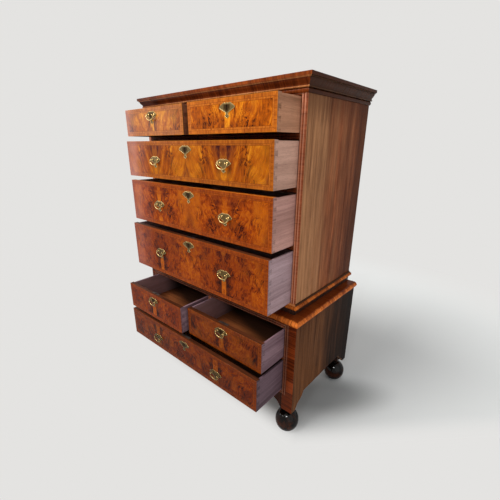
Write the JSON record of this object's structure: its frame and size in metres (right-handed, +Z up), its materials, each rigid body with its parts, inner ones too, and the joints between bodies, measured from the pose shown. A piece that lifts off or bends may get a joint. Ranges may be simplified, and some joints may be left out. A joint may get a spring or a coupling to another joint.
{
  "type": "chest-on-chest",
  "caption": "Two-part walnut chest of short and long drawers with stepped cornice, waist mouldings, bat-wing bail handles and turned ball feet.",
  "frame": {"origin": "floor level under the centre of the whole piece as stored, with its drawers partly open", "axes": "+Z up, +Y towards the back, +X to the right as seen from the front; the drawers slide out along -Y"},
  "size_m": [1.112, 0.7872, 1.5535],
  "materials": {
    "figured_walnut": "polished figured veneer",
    "side_walnut": "satin polished walnut",
    "crossbanded_walnut": "polished cross-grained walnut",
    "oak": "dry bare oak",
    "pine": "aged bare pine",
    "ebonised_wood": "gloss black",
    "brass": "worn antique brass"
  },
  "bodies": {
    "case": {"upper_side_left": "side_walnut", "upper_side_right": "side_walnut", "upper_top_board": "pine", "upper_rail_1": "crossbanded_walnut", "upper_rail_2": "crossbanded_walnut", "upper_rail_3": "crossbanded_walnut", "upper_bottom_board": "pine", "upper_divider": "crossbanded_walnut", "upper_back_boards": "pine", "cornice": "crossbanded_walnut", "upper_base_moulding": "crossbanded_walnut", "lower_side_left": "side_walnut", "lower_side_right": "side_walnut", "lower_top_board": "crossbanded_walnut", "lower_rail": "crossbanded_walnut", "lower_divider": "crossbanded_walnut", "bottom_rail": "crossbanded_walnut", "lower_back_boards": "pine", "ball_foot_front_left": "ebonised_wood", "ball_foot_front_right": "ebonised_wood", "ball_foot_back_left": "ebonised_wood", "ball_foot_back_right": "ebonised_wood"},
    "top_left_drawer": {"top_left_drawer_front": "figured_walnut", "top_left_drawer_box": "oak", "top_left_drawer_plate": "brass"},
    "top_left_drawer_bail": {"top_left_drawer_bail": "brass"},
    "top_right_drawer": {"top_right_drawer_front": "figured_walnut", "top_right_drawer_box": "oak"},
    "upper_long_drawer_3": {"upper_long_drawer_3_front": "figured_walnut", "upper_long_drawer_3_box": "oak", "upper_long_drawer_3_plate_left": "brass", "upper_long_drawer_3_plate_right": "brass"},
    "upper_long_drawer_3_bail_left": {"upper_long_drawer_3_bail_left": "brass"},
    "upper_long_drawer_3_bail_right": {"upper_long_drawer_3_bail_right": "brass"},
    "upper_long_drawer_2": {"upper_long_drawer_2_front": "figured_walnut", "upper_long_drawer_2_box": "oak", "upper_long_drawer_2_plate_left": "brass", "upper_long_drawer_2_plate_right": "brass"},
    "upper_long_drawer_2_bail_left": {"upper_long_drawer_2_bail_left": "brass"},
    "upper_long_drawer_2_bail_right": {"upper_long_drawer_2_bail_right": "brass"},
    "upper_long_drawer_1": {"upper_long_drawer_1_front": "figured_walnut", "upper_long_drawer_1_box": "oak", "upper_long_drawer_1_plate_left": "brass", "upper_long_drawer_1_plate_right": "brass"},
    "upper_long_drawer_1_bail_left": {"upper_long_drawer_1_bail_left": "brass"},
    "upper_long_drawer_1_bail_right": {"upper_long_drawer_1_bail_right": "brass"},
    "lower_left_drawer": {"lower_left_drawer_front": "figured_walnut", "lower_left_drawer_box": "oak", "lower_left_drawer_plate": "brass"},
    "lower_left_drawer_bail": {"lower_left_drawer_bail": "brass"},
    "lower_right_drawer": {"lower_right_drawer_front": "figured_walnut", "lower_right_drawer_box": "oak", "lower_right_drawer_plate": "brass"},
    "lower_right_drawer_bail": {"lower_right_drawer_bail": "brass"},
    "bottom_drawer": {"bottom_drawer_front": "figured_walnut", "bottom_drawer_box": "oak", "bottom_drawer_plate_left": "brass", "bottom_drawer_plate_right": "brass"},
    "bottom_drawer_bail_left": {"bottom_drawer_bail_left": "brass"},
    "bottom_drawer_bail_right": {"bottom_drawer_bail_right": "brass"}
  },
  "joints": [
    {"name": "top_left_drawer_slide", "type": "slide", "parent": "case", "child": "top_left_drawer", "axis": [0, -1, 0], "range_m": [-0.1395, 0.2]},
    {"name": "top_left_drawer_bail_hinge", "type": "hinge", "parent": "top_left_drawer", "child": "top_left_drawer_bail", "pos_m": [-0.24555, -0.29585, 1.454], "axis": [-1, 0, 0], "range_deg": [-8, 95]},
    {"name": "top_right_drawer_slide", "type": "slide", "parent": "case", "child": "top_right_drawer", "axis": [0, -1, 0], "range_m": [-0.1405, 0.2]},
    {"name": "upper_long_drawer_3_slide", "type": "slide", "parent": "case", "child": "upper_long_drawer_3", "axis": [0, -1, 0], "range_m": [-0.164, 0.2]},
    {"name": "upper_long_drawer_3_bail_left_hinge", "type": "hinge", "parent": "upper_long_drawer_3", "child": "upper_long_drawer_3_bail_left", "pos_m": [-0.231, -0.32035, 0.8], "axis": [-1, 0, 0], "range_deg": [-8, 95]},
    {"name": "upper_long_drawer_3_bail_right_hinge", "type": "hinge", "parent": "upper_long_drawer_3", "child": "upper_long_drawer_3_bail_right", "pos_m": [0.231, -0.32035, 0.8], "axis": [-1, 0, 0], "range_deg": [-8, 95]},
    {"name": "upper_long_drawer_2_slide", "type": "slide", "parent": "case", "child": "upper_long_drawer_2", "axis": [0, -1, 0], "range_m": [-0.148, 0.2]},
    {"name": "upper_long_drawer_2_bail_left_hinge", "type": "hinge", "parent": "upper_long_drawer_2", "child": "upper_long_drawer_2_bail_left", "pos_m": [-0.231, -0.30435, 1.046], "axis": [-1, 0, 0], "range_deg": [-8, 95]},
    {"name": "upper_long_drawer_2_bail_right_hinge", "type": "hinge", "parent": "upper_long_drawer_2", "child": "upper_long_drawer_2_bail_right", "pos_m": [0.231, -0.30435, 1.046], "axis": [-1, 0, 0], "range_deg": [-8, 95]},
    {"name": "upper_long_drawer_1_slide", "type": "slide", "parent": "case", "child": "upper_long_drawer_1", "axis": [0, -1, 0], "range_m": [-0.1505, 0.2]},
    {"name": "upper_long_drawer_1_bail_left_hinge", "type": "hinge", "parent": "upper_long_drawer_1", "child": "upper_long_drawer_1_bail_left", "pos_m": [-0.231, -0.30685, 1.258], "axis": [-1, 0, 0], "range_deg": [-8, 95]},
    {"name": "upper_long_drawer_1_bail_right_hinge", "type": "hinge", "parent": "upper_long_drawer_1", "child": "upper_long_drawer_1_bail_right", "pos_m": [0.231, -0.30685, 1.258], "axis": [-1, 0, 0], "range_deg": [-8, 95]},
    {"name": "lower_left_drawer_slide", "type": "slide", "parent": "case", "child": "lower_left_drawer", "axis": [0, -1, 0], "range_m": [-0.1885, 0.2]},
    {"name": "lower_left_drawer_bail_hinge", "type": "hinge", "parent": "lower_left_drawer", "child": "lower_left_drawer_bail", "pos_m": [-0.2464, -0.38785, 0.5345], "axis": [-1, 0, 0], "range_deg": [-8, 95]},
    {"name": "lower_right_drawer_slide", "type": "slide", "parent": "case", "child": "lower_right_drawer", "axis": [0, -1, 0], "range_m": [-0.1615, 0.2]},
    {"name": "lower_right_drawer_bail_hinge", "type": "hinge", "parent": "lower_right_drawer", "child": "lower_right_drawer_bail", "pos_m": [0.2464, -0.36085, 0.5345], "axis": [-1, 0, 0], "range_deg": [-8, 95]},
    {"name": "bottom_drawer_slide", "type": "slide", "parent": "case", "child": "bottom_drawer", "axis": [0, -1, 0], "range_m": [-0.19, 0.2]},
    {"name": "bottom_drawer_bail_left_hinge", "type": "hinge", "parent": "bottom_drawer", "child": "bottom_drawer_bail_left", "pos_m": [-0.231, -0.38935, 0.312], "axis": [-1, 0, 0], "range_deg": [-8, 95]},
    {"name": "bottom_drawer_bail_right_hinge", "type": "hinge", "parent": "bottom_drawer", "child": "bottom_drawer_bail_right", "pos_m": [0.231, -0.38935, 0.312], "axis": [-1, 0, 0], "range_deg": [-8, 95]}
  ]
}
